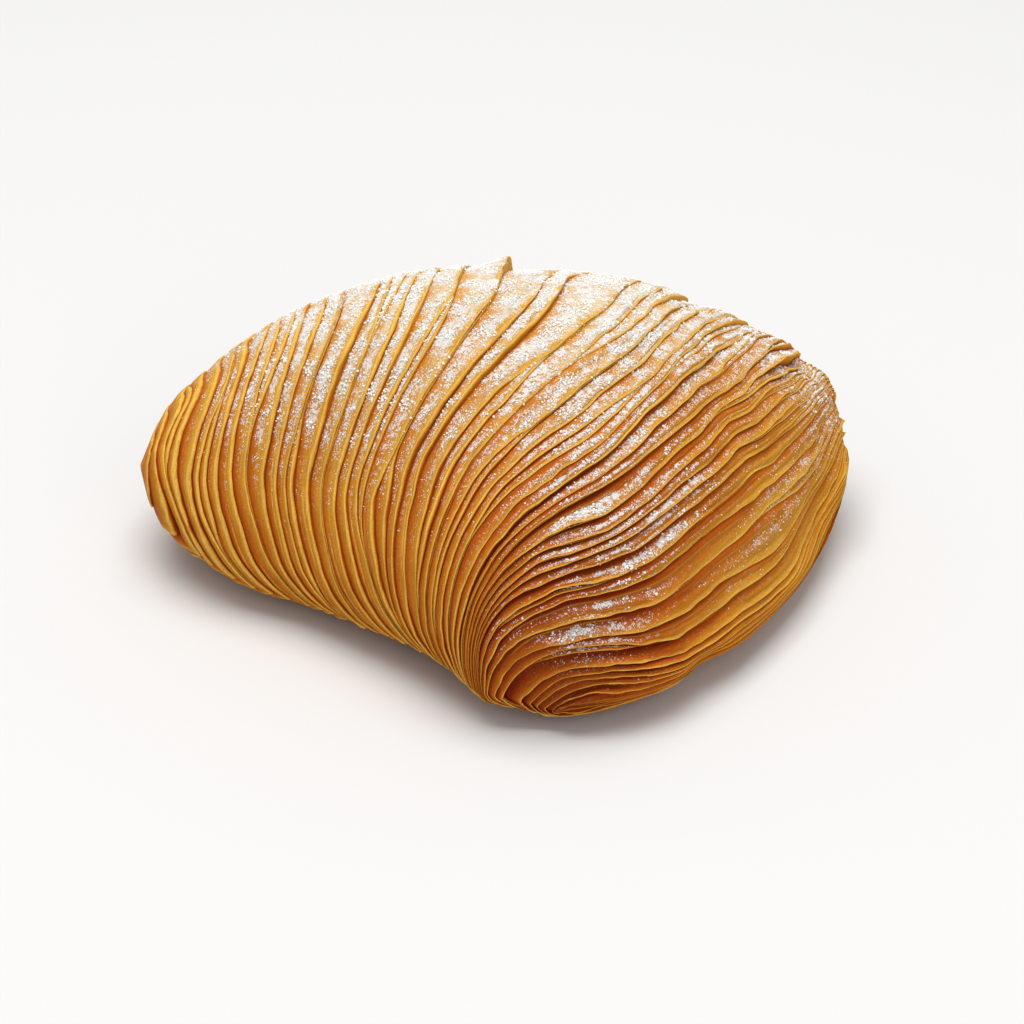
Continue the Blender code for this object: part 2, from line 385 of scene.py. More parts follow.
def alikeRows(values, reach):
    # makes neighbouring rows alike over a few folds, as strong as before
    rows = np.arange(len(values))
    weight = np.exp(-((rows[:, None] - rows[None, :]) / reach)**2)
    return weight @ values / np.sqrt((weight**2).sum(axis=1))[:, None]


def roundDistance(turn, place):
    # how far apart two places are round a fold, the shorter way
    apart = np.abs(turn - place) % 1.0
    return np.minimum(apart, 1.0 - apart)


def regionValue(table, share, turn):
    # a value read smoothly from a table over the body
    shares = np.array([row[0] for row in table])
    lines = np.stack([np.interp(turn, tableTurns, row[1]) for row in table])
    at = np.interp(share, shares, np.arange(len(shares))).clip(0, len(shares) - 1 - 1e-9)
    k = at.astype(int)
    blend = at - k
    columns = np.broadcast_to(np.arange(lines.shape[1]), share.shape)
    return lines[k, columns] * (1 - blend) + lines[k + 1, columns] * blend


def longFolds(rng):
    # where the long folds begin and end, in share
    marks = [0.0]
    while marks[-1] < bodyForm["mouthEnd"] - 0.005:
        pitch = along(folds["pitch"], np.array([marks[-1]]))[0, 0]
        marks.append(marks[-1] + pitch * math.exp(folds["uneven"] * rng.normal()))
    return np.array(marks) * bodyForm["mouthEnd"] / marks[-1]


def foldWidths(rng, turn):
    # one row for each fold: its width in share all the way round, and how fully it is there
    marks = longFolds(rng)
    after = [[] for _ in marks]      # the short folds that follow each long one
    for share, middle, reach, wide in shortFolds:
        after[np.argmin(np.abs(marks - share))].append((middle, reach, wide))
    low, high = crowd["shares"]
    for number in np.flatnonzero((marks >= low) & (marks < high)):
        for _ in range(crowd["many"]):
            middle = crowd["middle"] + crowd["spread"] * rng.normal()
            reach = crowd["reach"] + crowd["spread"] * rng.normal()
            after[number].append((middle, reach, 1.0 / (crowd["many"] + 1)))
    pitch = np.diff(marks)
    last = len(pitch) - 1
    widths, there, longRows = [], [], []
    taken = np.zeros((len(pitch), len(turn)))
    for number, long in enumerate(pitch):
        longRows.append(len(widths))
        widths.append(np.full(len(turn), long))
        there.append(np.ones(len(turn)))
        for middle, reach, wide in after[number + 1]:
            seen = 1 - smoothStep(0.45, 1.0, roundDistance(turn, middle) / reach)
            wide = wide * long * (0.05 + 0.95 * seen)     # never quite nothing
            widths.append(wide)
            there.append(seen)
            taken[number] += wide / 2
            taken[min(number + 1, last)] += wide / 2
    for number, row in enumerate(longRows):      # a long fold keeps a fifth of its width at least
        widths[row] = np.maximum(widths[row] - taken[number], 0.2 * widths[row])
    return np.array(widths), np.array(there)


def rippling(rng, edge, turn):
    # small waves that neighbouring edges share, stronger towards the mouth
    end, spacing = bodyForm["mouthEnd"], folds["rippleSpacing"]
    waves = alikeRows(roundWaves(rng, math.ceil(end / spacing) + 2, turn, 9, 30, 0.8), 1.0)
    flat = edge.ravel().clip(0, end)
    at = flat / spacing
    row = at.astype(int)
    blend = at - row
    columns = np.tile(np.arange(len(turn)), len(edge))
    wave = waves[row, columns] * (1 - blend) + waves[row + 1, columns] * blend
    turns = np.tile(turn, len(edge))
    size = folds["ripple"] * growing(0.12, 0.45, 0.85, flat) * (1 - smoothStep(0.99, 1.03, flat))
    size = size * growing(0.3, 0.13, 0.24, roundDistance(turns, 0.0))
    size = size * (1 - 0.6 * smoothStep(0.33, 0.42, turns) * (1 - smoothStep(0.80, 0.90, turns)))
    pace = np.maximum(outwardAndPace(flat, turns)[1], folds["slowest"])
    return (wave * size / pace).reshape(edge.shape)


def gatherAndLean(edge, turn):
    # the folds gather at the near corner and lean to the mouth over the crest
    near = (1 - roundDistance(turn, 0.0) / 0.20).clip(0, 1)**1.6
    overCrest = smoothStep(0.13, 0.28, turn) * (1 - smoothStep(0.50, 0.78, turn))
    flat = edge.ravel().clip(0, bodyForm["mouthEnd"])
    back = np.interp(flat, *zip(*gathered)).reshape(edge.shape)
    lean = np.interp(flat, *zip(*leaning)).reshape(edge.shape)
    return edge - back * near + lean * overCrest


def addAccents(edge, turn, deeper, lift):
    # the few folds that are wider, lie deeper or stand up in one place
    for share, at, reach, spreadBefore, spreadAfter, wider, deepen, raised in accents:
        if wider == 1.0:           # one fold's own edge
            near = edge[:, np.argmin(roundDistance(turn, at))]
            share = near[np.argmin(np.abs(near - share))]
        apart = edge - share
        past = (turn - at + 0.5) % 1.0 - 0.5
        level = np.exp(-(past / np.where(past < 0, spreadBefore, spreadAfter))**2)[None, :]
        edge = edge + (wider - 1) * apart * np.exp(-(apart / reach)**2) * level
        close = np.exp(-((edge - share) / reach)**2) * level
        deeper = deeper * (1 + (deepen - 1) * close)
        lift = lift + raised * mm * close[1:]
    return edge, deeper, lift


def sinking(edge, turn):
    # how much lower the pastry lies from each edge on, and at the end of each fold
    sunk = np.zeros_like(edge)
    drops = []
    for share, at, spread, drop, risen in terraces:
        apart = roundDistance(turn, at)
        first = np.argmin(np.abs(edge[:, np.argmin(apart)] - share))
        since = (edge - edge[first]).clip(0, None)
        after = (np.arange(len(edge)) >= first)[:, None]
        sunk += after * drop * mm * np.exp(-(apart / spread)**2) * (1 - smoothStep(0, risen, since))
        drops.append(first)
    for share, at, reach, spread, dent in dents:
        sunk += dent * mm * np.exp(-((edge - share) / reach)**2 - (roundDistance(turn, at) / spread)**2)
    sunkEnd = sunk[1:].copy()      # the fold before a drop does not go down with it
    for first in drops:
        sunkEnd[first - 1] = sunk[first - 1]
    return sunk, sunkEnd


def creaseDepths(edge, turn, wide, deeper):
    # a crease's depth follows the folds on its two sides, more the wider one that rises from it
    before, after = np.vstack([wide[:1], wide]), np.vstack([wide, wide[-1:]])
    beside = 0.35 * before + 0.65 * after
    ratio = regionValue(creases, edge, turn)
    depth = np.minimum((ratio * deeper.clip(0.4, 2.4)).clip(0, 0.9) * beside, folds["deepest"])
    depth *= growing(folds["tipDepth"], 0.0, folds["tip"], edge)
    depth[[0, -1]] = 0.0
    return depth


def layOutFolds():
    # every fold all the way round: its edges in share, and in metres its depth, lift and thin sheets
    rng = np.random.RandomState(folds["seed"])
    turn = columnTurns()
    widths, there = foldWidths(rng, turn)
    count = len(widths)
    widths = widths * np.exp(folds["changing"] * roundWaves(rng, count, turn, 1, 5, 0.5))
    edge = np.vstack([np.zeros(len(turn)), np.cumsum(widths, axis=0)])
    edge = gatherAndLean(edge / edge[-1] * bodyForm["mouthEnd"], turn)

    deeper = 1 + folds["deeper"] * alikeRows(roundWaves(rng, count + 1, turn, 1, 6, 0.6), 1.0)
    swing = np.where(np.arange(count + 1) % 2, 1.0, -1.0) + 0.4 * rng.normal(size=count + 1)
    paired = folds["paired"] * smoothStep(0.45, 0.65, edge)
    paired = paired * (1 - smoothStep(0.30, 0.40, roundDistance(turn, 0.0)))
    deeper = deeper * np.exp(paired * swing[:, None])
    lift = -folds["tucked"] * (1 - there)
    edge, deeper, lift = addAccents(edge, turn, deeper, lift)
    edge = edge + rippling(rng, edge, turn)
    edge = np.maximum.accumulate(edge, axis=0).clip(0, bodyForm["mouthEnd"])

    sunk, sunkEnd = sinking(edge, turn)
    pace = outwardAndPace(edge.ravel(), np.tile(turn, count + 1))[1].reshape(edge.shape)
    wide = np.diff(edge, axis=0) * (pace[:-1] + pace[1:]) / 2
    depth = creaseDepths(edge, turn, wide, deeper)

    # edges stray and lift more towards the mouth, and where a fold is wide
    order = edge[1:].mean(axis=1)[:, None]
    ragged = 0.35 + 0.75 * smoothStep(0.15, 0.8, order)
    room = (wide / (2.0 * mm)).clip(0, 1.2)
    wander = folds["wander"] * ragged * roundWaves(rng, count, turn, 14, 70, 0.8)
    wander = (wander * room).clip(-0.3 * wide, 0.3 * wide)
    lift = lift + folds["lift"] * ragged * room * alikeRows(roundWaves(rng, count, turn, 4, 26, 0.9), 0.8)
    tone = rng.uniform(0, 1, count)

    # where the thin sheets on top end, and how high they stand
    sheetAt = np.stack([place + stray * roundWaves(rng, count, turn, 1, 12, 0.8).clip(-2, 2)
                        for place, stray in folds["sheetPlaces"]])
    sheetHigh = np.stack([roundWaves(rng, count, turn, 1, 9, 0.5) for _ in folds["sheetPlaces"]])
    sheetHigh = folds["sheets"] * smoothStep(-0.5, 1.2, sheetHigh) * (wide / (2.2 * mm)).clip(0, 1.3)
    sheetHigh = sheetHigh * smoothStep(0.02, 0.25, order)
    thicker = np.exp(0.35 * roundWaves(rng, count, turn, 3, 40, 0.5)).clip(0.35, 1.8)
    return dict(turn=turn, edge=edge, pace=pace, wide=wide, depth=depth, wander=wander, lift=lift,
                tone=tone, sunk=sunk, sunkEnd=sunkEnd, sheetAt=sheetAt, sheetHigh=sheetHigh,
                thicker=thicker)


layout = layOutFolds()
foldCount = len(layout["wide"])
print("folds laid out:", foldCount, "folds, widths in mm",
      np.round(np.percentile(layout["wide"] / mm, (5, 50, 95)), 2))

# how thick the free edges are, in mm
thickness = (
    (0.00, (0.60, 0.60, 0.60, 0.60, 0.65, 0.70, 0.60, 0.50, 0.45, 0.60)),
    (0.18, (0.36, 0.38, 0.40, 0.42, 0.44, 0.46, 0.50, 0.45, 0.35, 0.36)),
    (0.40, (0.22, 0.22, 0.24, 0.28, 0.33, 0.35, 0.40, 0.35, 0.25, 0.22)),
    (0.70, (0.16, 0.16, 0.18, 0.25, 0.32, 0.34, 0.30, 0.25, 0.20, 0.16)),
    (1.04, (0.14, 0.14, 0.15, 0.18, 0.22, 0.25, 0.22, 0.20, 0.20, 0.14)),
)

# how slowly a fold rises out of its crease
blunt = (
    (0.00, (1.20, 1.20, 1.20, 1.20, 1.20, 1.20, 0.80, 0.60, 0.60, 1.20)),
    (0.20, (0.70, 0.80, 0.80, 0.70, 0.60, 0.50, 0.50, 0.50, 0.50, 0.70)),
    (0.50, (0.60, 0.55, 0.50, 0.50, 0.50, 0.50, 0.50, 0.50, 0.50, 0.60)),
    (0.75, (0.60, 0.90, 1.10, 0.80, 0.60, 0.60, 0.60, 0.60, 0.60, 0.60)),
    (1.04, (0.60, 0.80, 0.90, 0.70, 0.70, 0.70, 0.60, 0.60, 0.60, 0.60)),
)

# how dark the crust is painted, most in the creases: real browning and painted shade, light over the crest
bakedAndShaded = (
    (0.00, (0.78, 0.78, 0.76, 0.70, 0.60, 0.55, 0.65, 0.65, 0.65, 0.78)),
    (0.12, (0.78, 0.78, 0.72, 0.58, 0.42, 0.40, 0.80, 0.95, 0.80, 0.78)),
    (0.35, (0.75, 0.65, 0.50, 0.32, 0.18, 0.22, 0.85, 1.05, 0.80, 0.75)),
    (0.60, (0.95, 0.85, 0.70, 0.40, 0.20, 0.22, 0.85, 1.05, 0.90, 0.95)),
    (0.80, (1.15, 1.15, 1.10, 0.88, 0.62, 0.50, 0.80, 1.00, 0.90, 1.15)),
    (0.95, (1.45, 1.40, 1.10, 0.78, 0.50, 0.55, 0.65, 0.70, 0.70, 1.45)),
    (1.04, (1.90, 1.80, 1.25, 0.90, 0.60, 0.60, 0.65, 0.70, 0.80, 1.90)),
)


def roundness(share):
    # 1 on the nose, where the folds are soft and round, to 0 where they are crisp
    return 1 - smoothStep(*folds["crisp"], share)


def foldRings(fold):
    # the rings of one fold, over its top and round its lip: where each is in share, its relief in
    # metres, its step, how much of a thin sheet's edge shows, and how much lower the pastry lies there
    turn, edge, depth = layout["turn"], layout["edge"], layout["depth"]
    wide = layout["wide"][fold]
    pace = np.maximum(layout["pace"][fold], 1e-4)     # never 0, not even where all folds meet
    start, end = edge[fold], edge[fold + 1]
    span = end - start
    sunk, sunkEnd, sunkNext = layout["sunk"][fold], layout["sunkEnd"][fold], layout["sunk"][fold + 1]
    creaseHere, creaseNext = depth[fold], depth[fold + 1]
    raised = layout["lift"][fold]
    wander = layout["wander"][fold] / pace
    soft = roundness(start)
    power = regionValue(blunt, edge[fold:fold + 1], turn)[0]
    thick = regionValue(thickness, edge[fold:fold + 1], turn)[0] * mm
    thick = thick * layout["thicker"][fold] * growing(folds["tipThick"], 0.0, folds["tip"], start)
    thick = np.minimum(thick, lips["under"] * creaseNext + sunkNext - sunkEnd)
    over = np.minimum(lips["overhang"] * thick, lips["longestOverhang"] * wide)
    over = over * (creaseNext / lips["fullOverhang"]).clip(0, 1) / pace * smoothStep(0.02, 0.20, start)
    lip = (lips["wide"] + lips["widerOnNose"] * soft) * thick / np.maximum(wide, 0.1 * mm)
    lip = lip.clip(0, lips["widest"] + lips["widestOnNose"] * soft)
    curl = np.minimum(lips["mostCurl"] * creaseNext, lips["curl"] * thick)
    low, high = layout["sheetAt"][:, fold]
    high = np.minimum(high, folds["lastSheet"] - lip)
    low = np.minimum(low, high - folds["sheetGap"])
    lowHigh, highHigh = layout["sheetHigh"][:, fold]
    bare = np.zeros(len(turn))

    def risen(across):
        # how far the fold has come out of its crease: rounder by the nose
        return (1 - soft) * across**power + soft * (1 - (1 - across / 0.8).clip(0, 1)**2)

    def ring(share, relief, step, shows=bare, level=sunkEnd):
        return dict(share=share.clip(0, bodyForm["mouthEnd"]), relief=relief, step=step + bare,
                    shows=shows, sunk=level, tone=layout["tone"][fold] + bare)

    rings = []
    for place in topRings:
        if place <= 1:
            across, sheet = place * low, lowHigh * place
        elif place <= 2:
            across, sheet = low + (place - 1) * (high - low), highHigh * (place - 1)
        else:
            across, sheet = high + (place - 2) * (1 - lip - high), bare
        free = smoothStep(0.3, 1.0, across)
        shows = lowHigh if 1 <= place < 1.1 else highHigh if 2 <= place < 2.1 else bare
        level = sunk + (sunkEnd - sunk) * across
        rings.append(ring(start + span * across + wander * free,
                          -creaseHere * (1 - risen(across)) + raised * free + sheet - level,
                          steps["lip"] * across / (1 - lip), shows / folds["sheets"], level))
    top, hang = raised - sunkEnd, end + wander + over
    bevel = (0.25 + 0.35 * soft) * thick
    underside = -lips["under"] * creaseNext - (1 - lips["under"]) * thick - sunkNext
    return rings + [
        ring(start + span * (1 - lip) + 0.95 * wander, top + 0.2 * curl, steps["lip"]),
        ring(start + span * (1 - 0.35 * lip) + wander, top + curl, steps["top"]),
        ring(hang, top + 0.6 * curl - bevel, steps["edge"]),
        ring(hang, top - thick, steps["under"]),
        ring(end + 0.3 * wander - 0.03 * span, underside, steps["end"], level=sunkNext),
    ]


def sliceFaces(rows, columns):
    # quads between the rings, and at each end a fan to its middle point
    here = np.arange(columns)
    after = (here + 1) % columns
    faces = []
    for low in range(0, (rows - 1) * columns, columns):
        high = low + columns
        faces += np.stack([low + here, high + here, high + after, low + after], axis=1).tolist()
    last, middle = (rows - 1) * columns, rows * columns
    faces += np.stack([np.full(columns, middle), here, after], axis=1).tolist()
    faces += np.stack([np.full(columns, middle + 1), last + after, last + here], axis=1).tolist()
    return faces


def foldPiece(name, first, last):
    # folds first to last as one closed slice, still unraised, with what raises and colours it
    rings = [ring for fold in range(first, last) for ring in foldRings(fold)]
    if last < foldCount:
        rings.append(foldRings(last)[0])
    rows, columns = len(rings), len(layout["turn"])
    share, relief, step, shows, sunk, tone = (
        np.concatenate([ring[what] for ring in rings])
        for what in ("share", "relief", "step", "shows", "sunk", "tone"))
    turn = np.tile(layout["turn"], rows)
    points = smoothForm(share, turn)
    normal, _ = outwardAndPace(share, turn)
    relief = relief * smoothStep(0.3 * mm, 3.0 * mm, points[:, 2])     # none on the flat base

    # how far down a crease a place lies, and how dark it is painted: real browning and painted shade
    inner = (1 - step / steps["lip"]).clip(0, 1)**1.2 * smoothStep(0, 0.02, share)
    inner = inner + smoothStep(steps["edge"], steps["end"], step)
    sheer = -1.3 * (relief + sunk) / folds["deepest"]
    rim = smoothStep(0.56 - 0.08 * roundness(share), 0.63, step) * (1 - smoothStep(0.78, 0.90, step))
    brownAndShade = regionValue(bakedAndShaded, share[None, :], turn)[0]
    # painted shade over real browning: a little over the whole fold, less on the lip so it stays pale, most
    # down the crease
    deep = brownAndShade * (0.36 - 0.24 * rim + 0.64 * np.maximum(inner, sheer))
    hidden = np.maximum(inner * brownAndShade.clip(0, 1), sheer)

    ends = [points[:columns].mean(axis=0), points[-columns:].mean(axis=0)]
    mesh = bpy.data.meshes.new(name)
    mesh.from_pydata(np.vstack([points, ends]), [], sliceFaces(rows, columns))
    values = dict(relief=relief, step=step, deep=deep, hidden=hidden, tone=tone, shows=shows.clip(0, 1),
                  share=share, turn=turn)
    atEnds = dict(tone=(0.5, 0.5), share=(0.0, 1.0))
    for title, value in values.items():
        value = np.append(value, atEnds.get(title, (0.0, 0.0)))
        mesh.attributes.new(title, "FLOAT", "POINT").data.foreach_set("value", value.astype(np.float32))
    normal = np.vstack([normal, np.zeros((2, 3))]).astype(np.float32)
    mesh.attributes.new("outward", "FLOAT_VECTOR", "POINT").data.foreach_set("vector", normal.ravel())
    mesh.shade_smooth()
    piece = bpy.data.objects.new(name, mesh)
    bpy.context.collection.objects.link(piece)
    return piece


def newTree(name, inputs):
    tree = bpy.data.node_groups.new(name, "GeometryNodeTree")
    tree.interface.new_socket("Geometry", in_out="INPUT", socket_type="NodeSocketGeometry")
    for title, kind, value in inputs:
        socket = tree.interface.new_socket(title, in_out="INPUT", socket_type=kind)
        if value is not None:
            socket.default_value = value
    tree.interface.new_socket("Geometry", in_out="OUTPUT", socket_type="NodeSocketGeometry")
    return tree


def addNode(tree, kind, inputs=None, **settings):
    node = tree.nodes.new(kind)
    for key, value in settings.items():
        setattr(node, key, value)
    for key, value in (inputs or {}).items():
        if isinstance(value, bpy.types.NodeSocket):
            tree.links.new(value, node.inputs[key])
        else:
            node.inputs[key].default_value = value
    return node


def floatCurve(tree, value, points):
    node = addNode(tree, "ShaderNodeFloatCurve", {"Value": value})
    curve = node.mapping.curves[0]
    curve.points[0].location = points[0]
    curve.points[-1].location = points[-1]
    for x, y in points[1:-1]:
        curve.points.new(x, y)
    node.mapping.update()
    return node.outputs["Value"]


def namedValue(tree, title, kind="FLOAT"):
    node = addNode(tree, "GeometryNodeInputNamedAttribute", {"Name": title}, data_type=kind)
    return node.outputs["Attribute"]


def mathNode(tree, operation, a, b=0.0, clamp=False):
    return addNode(tree, "ShaderNodeMath", {0: a, 1: b}, operation=operation, use_clamp=clamp).outputs[0]


def product(tree, first, *others):
    for other in others:
        first = mathNode(tree, "MULTIPLY", first, other)
    return first


def scaled(tree, vector, scale):
    return addNode(tree, "ShaderNodeVectorMath", {0: vector, "Scale": scale}, operation="SCALE").outputs[0]


def noise(tree, where, scale, detail, roughness=0.5):
    return addNode(tree, "ShaderNodeTexNoise", {"Vector": where, "Scale": scale, "Detail": detail,
                                                 "Roughness": roughness}).outputs[0]


def mapRange(tree, value, fromLow, fromHigh, toLow=0.0, toHigh=1.0, kind="SMOOTHSTEP"):
    node = addNode(tree, "ShaderNodeMapRange", {"Value": value, "From Min": fromLow, "From Max": fromHigh,
                                                 "To Min": toLow, "To Max": toHigh}, interpolation_type=kind)
    return node.outputs["Result"]


def paintAndPutOut(tree, geometry, material):
    painted = addNode(tree, "GeometryNodeSetMaterial", {"Geometry": geometry, "Material": material})
    out = addNode(tree, "NodeGroupOutput")
    tree.links.new(painted.outputs[0], out.inputs[0])


# where sugar stays on a fold: step and how much, from the crease over the top to the bare lip
shelter = ((0.0, 0.40), (0.06, 0.60), (0.18, 0.90), (0.30, 1.0), (0.44, 1.0), (0.50, 0.70), (0.56, 0.25),
           (0.64, 0.12), (0.76, 0.05), (1.0, 0.0))


def sugarSettles(tree, where, slopes):
    # how much sugar stays: on what faces up, in the shelter of a fold, and in patches on its lip
    facing = addNode(tree, "GeometryNodeInputNormal").outputs[0]
    upward = addNode(tree, "ShaderNodeSeparateXYZ", {0: facing}).outputs["Z"]
    settles = mapRange(tree, upward, *slopes)
    step = namedValue(tree, "step")
    band = noise(tree, where, 260.0, 2.0)
    onLip = product(tree, mapRange(tree, band, 0.44, 0.58, 0.0, 0.9),
                    mapRange(tree, namedValue(tree, "turn"), 0.20, 0.29),
                    mapRange(tree, namedValue(tree, "share"), 0.50, 0.70, 1.0, 0.25),
                    mapRange(tree, step, 0.70, 0.80, 1.0, 0.0))
    uneven = product(tree, mathNode(tree, "SUBTRACT", band, 0.5), 0.45)
    onTop = floatCurve(tree, mathNode(tree, "ADD", step, uneven, True), shelter)
    onTop = product(tree, onTop, mapRange(tree, step, 0.64, 0.84, 1.0, 0.0))
    shallow = mapRange(tree, namedValue(tree, "hidden"), 0.32, 0.62, 1.0, 0.0)
    stays = product(tree, mathNode(tree, "MAXIMUM", onTop, onLip), shallow)
    return product(tree, settles, stays, namedValue(tree, "dusting"))


def raiseTree():
    # lifts each ring to its relief, adds the crust's small blisters and says where sugar settles
    tree = newTree("raiseFolds", (
        ("Blister height", "NodeSocketFloat", 0.10 * mm),
        ("Blister size", "NodeSocketFloat", 2.2 * mm),
        ("Sugar starts at slope", "NodeSocketFloat", 0.05),
        ("Sugar full at slope", "NodeSocketFloat", 0.60),
        ("Material", "NodeSocketMaterial", None),
    ))
    given = addNode(tree, "NodeGroupInput").outputs
    where = addNode(tree, "GeometryNodeInputPosition").outputs[0]
    blister = noise(tree, where, mathNode(tree, "DIVIDE", 1.0, given["Blister size"]), 2.0, 0.55)
    blister = product(tree, mathNode(tree, "SUBTRACT", blister, 0.5), 2.0, given["Blister height"])
    height = mathNode(tree, "ADD", namedValue(tree, "relief"), blister)
    offset = scaled(tree, namedValue(tree, "outward", "FLOAT_VECTOR"), height)
    raised = addNode(tree, "GeometryNodeSetPosition", {"Geometry": given["Geometry"], "Offset": offset})

    # nothing goes below the tray that it baked on
    spot = addNode(tree, "ShaderNodeSeparateXYZ", {0: where})
    floored = mathNode(tree, "MAXIMUM", spot.outputs["Z"], 0.0)
    level = addNode(tree, "ShaderNodeCombineXYZ",
                    {"X": spot.outputs["X"], "Y": spot.outputs["Y"], "Z": floored})
    flat = addNode(tree, "GeometryNodeSetPosition",
                   {"Geometry": raised.outputs[0], "Position": level.outputs[0]})

    sugar = sugarSettles(tree, where, (given["Sugar starts at slope"], given["Sugar full at slope"]))
    stored = addNode(tree, "GeometryNodeStoreNamedAttribute",
                     {"Geometry": flat.outputs[0], "Name": "sugar", "Value": sugar},
                     data_type="FLOAT", domain="POINT")
    paintAndPutOut(tree, stored.outputs[0], given["Material"])
    return tree


def bakeNodes(piece, tree, values):
    # runs a tree on the piece and keeps the plain mesh that comes out
    modifier = piece.modifiers.new(tree.name, "NODES")
    modifier.node_group = tree
    sockets = {item.name: item.identifier for item in tree.interface.items_tree if item.in_out == "INPUT"}
    for title, value in values.items():
        modifier[sockets[title]] = value
    bpy.context.view_layer.update()
    evaluated = piece.evaluated_get(bpy.context.evaluated_depsgraph_get())
    mesh = bpy.data.meshes.new_from_object(evaluated)
    old = piece.data
    piece.modifiers.remove(modifier)
    piece.data = mesh
    mesh.name = piece.name
    for number in reversed(range(len(mesh.materials))):
        if mesh.materials[number] is None:
            mesh.materials.pop(index=number)     # the empty slot that a plain sphere brings along
    bpy.data.meshes.remove(old)


# where the sugar fell, and where hardly any did: share, turn, spread in share, spread in turn, strength
dusting = dict(
    overall=0.09,
    patches=(
        (0.42, 0.30, 0.22, 0.11, 0.95),
        (0.22, 0.28, 0.14, 0.09, 0.60),
        (0.32, 0.18, 0.20, 0.06, 0.45),
        (0.60, 0.29, 0.13, 0.11, 0.88),
        (0.70, 0.19, 0.10, 0.05, 0.48),
        (0.76, 0.165, 0.04, 0.04, 0.90),
        (0.83, 0.19, 0.04, 0.05, 0.98),
        (0.89, 0.12, 0.05, 0.05, 0.98),
        (0.78, 0.05, 0.06, 0.03, 0.80),
        (0.74, 0.37, 0.07, 0.05, 0.85),
        (0.83, 0.40, 0.06, 0.04, 0.80),
        (0.92, 0.38, 0.06, 0.09, 0.35),
        (0.935, 0.275, 0.03, 0.05, 0.30),
    ),
    bare=(
        (0.03, 0.15, 0.12, 0.60, 0.9),
        (0.98, 0.33, 0.05, 0.10, 0.5),
    ),
)


def addDusting(piece):
    # how thickly the sugar fell on each point, before the folds shelter it
    share, turn = (np.zeros(len(piece.data.vertices), np.float32) for _ in range(2))
    piece.data.attributes["share"].data.foreach_get("value", share)
    piece.data.attributes["turn"].data.foreach_get("value", turn)
    fall = np.full(len(share), dusting["overall"])

    def spot(atShare, atTurn, wideShare, wideTurn):
        apart = roundDistance(turn, atTurn)
        return np.exp(-((share - atShare) / wideShare)**2 - (apart / wideTurn)**2)

    for *place, strength in dusting["patches"]:
        fall = 1 - (1 - fall) * (1 - strength * spot(*place))
    for *place, strength in dusting["bare"]:
        fall = fall * (1 - strength * spot(*place))
    stored = piece.data.attributes.new("dusting", "FLOAT", "POINT")
    stored.data.foreach_set("value", fall.astype(np.float32))


# loose sugar: grains on a square metre where it lies thickest, smallest and largest across, and where
# it starts: 0 lies anywhere, 1 only in the thickest places; a grain has 8 faces or 20
sugar = dict(
    colour=(0.84, 0.83, 0.81),
    roughness=0.6,
    shine=0.3,
    fineSugar=dict(many=1.28e7, smallest=0.14 * mm, largest=0.28 * mm, starts=0.10, seed=3, faces=8),
    sugarLumps=dict(many=8.0e6, smallest=0.24 * mm, largest=0.50 * mm, starts=0.35, seed=8, faces=20),
)


def randomBetween(tree, low, high):
    node = addNode(tree, "FunctionNodeRandomValue", {0: low, 1: high}, data_type="FLOAT_VECTOR")
    return node.outputs[0]


def sugarTree(name, faces):
    # scatters grains over the pastry, more where the crust's sugar lies thicker, in small drifts
    tree = newTree(name, (
        ("Pastry", "NodeSocketCollection", None),
        ("Grains per square metre", "NodeSocketFloat", 1e7),
        ("Smallest", "NodeSocketFloat", 0.10 * mm),
        ("Largest", "NodeSocketFloat", 0.20 * mm),
        ("Starts at", "NodeSocketFloat", 0.1),
        ("Drift size", "NodeSocketFloat", 3.0 * mm),
        ("Seed", "NodeSocketInt", 1),
        ("Material", "NodeSocketMaterial", None),
    ))
    given = addNode(tree, "NodeGroupInput").outputs
    pieces = addNode(tree, "GeometryNodeCollectionInfo", {"Collection": given["Pastry"]}).outputs[0]
    whole = addNode(tree, "GeometryNodeRealizeInstances", {"Geometry": pieces}).outputs[0]
    where = addNode(tree, "GeometryNodeInputPosition").outputs[0]
    drift = noise(tree, where, mathNode(tree, "DIVIDE", 1.0, given["Drift size"]), 3.0, 0.6)
    drift = mapRange(tree, drift, 0.38, 0.62, 0.05, 1.3, "LINEAR")
    lying = product(tree, namedValue(tree, "sugar"), drift)
    lying = mapRange(tree, lying, given["Starts at"], 1.0, 0.0, 1.0, "LINEAR")
    density = product(tree, lying, given["Grains per square metre"])
    spread = addNode(tree, "GeometryNodeDistributePointsOnFaces",
                     {"Mesh": whole, "Density": density, "Seed": given["Seed"]}, distribute_method="RANDOM")
    if faces == 8:
        grain = addNode(tree, "GeometryNodeMeshUVSphere", {"Segments": 4, "Rings": 2, "Radius": 0.5})
    else:
        grain = addNode(tree, "GeometryNodeMeshIcoSphere", {"Subdivisions": 1, "Radius": 0.5})
    across = addNode(tree, "FunctionNodeRandomValue",
                     {2: given["Smallest"], 3: given["Largest"], "Seed": given["Seed"]},
                     data_type="FLOAT").outputs[1]
    uneven = randomBetween(tree, (0.7, 0.7, 0.6), (1.2, 1.2, 1.0))
    turned = randomBetween(tree, (0, 0, 0), (6.28, 6.28, 6.28))     # any way round
    up = scaled(tree, spread.outputs["Normal"], product(tree, across, 0.25))
    lifted = addNode(tree, "GeometryNodeSetPosition", {"Geometry": spread.outputs["Points"], "Offset": up})
    placed = addNode(tree, "GeometryNodeInstanceOnPoints",
                     {"Points": lifted.outputs[0], "Instance": grain.outputs["Mesh"], "Rotation": turned,
                      "Scale": scaled(tree, uneven, across)})
    real = addNode(tree, "GeometryNodeRealizeInstances", {"Geometry": placed.outputs[0]})
    paintAndPutOut(tree, real.outputs[0], given["Material"])
    return tree


def newMaterial(name, roughness):
    material = bpy.data.materials.new(name)
    material.use_nodes = True
    shader = material.node_tree.nodes["Principled BSDF"]
    shader.inputs["Roughness"].default_value = roughness
    return material, shader


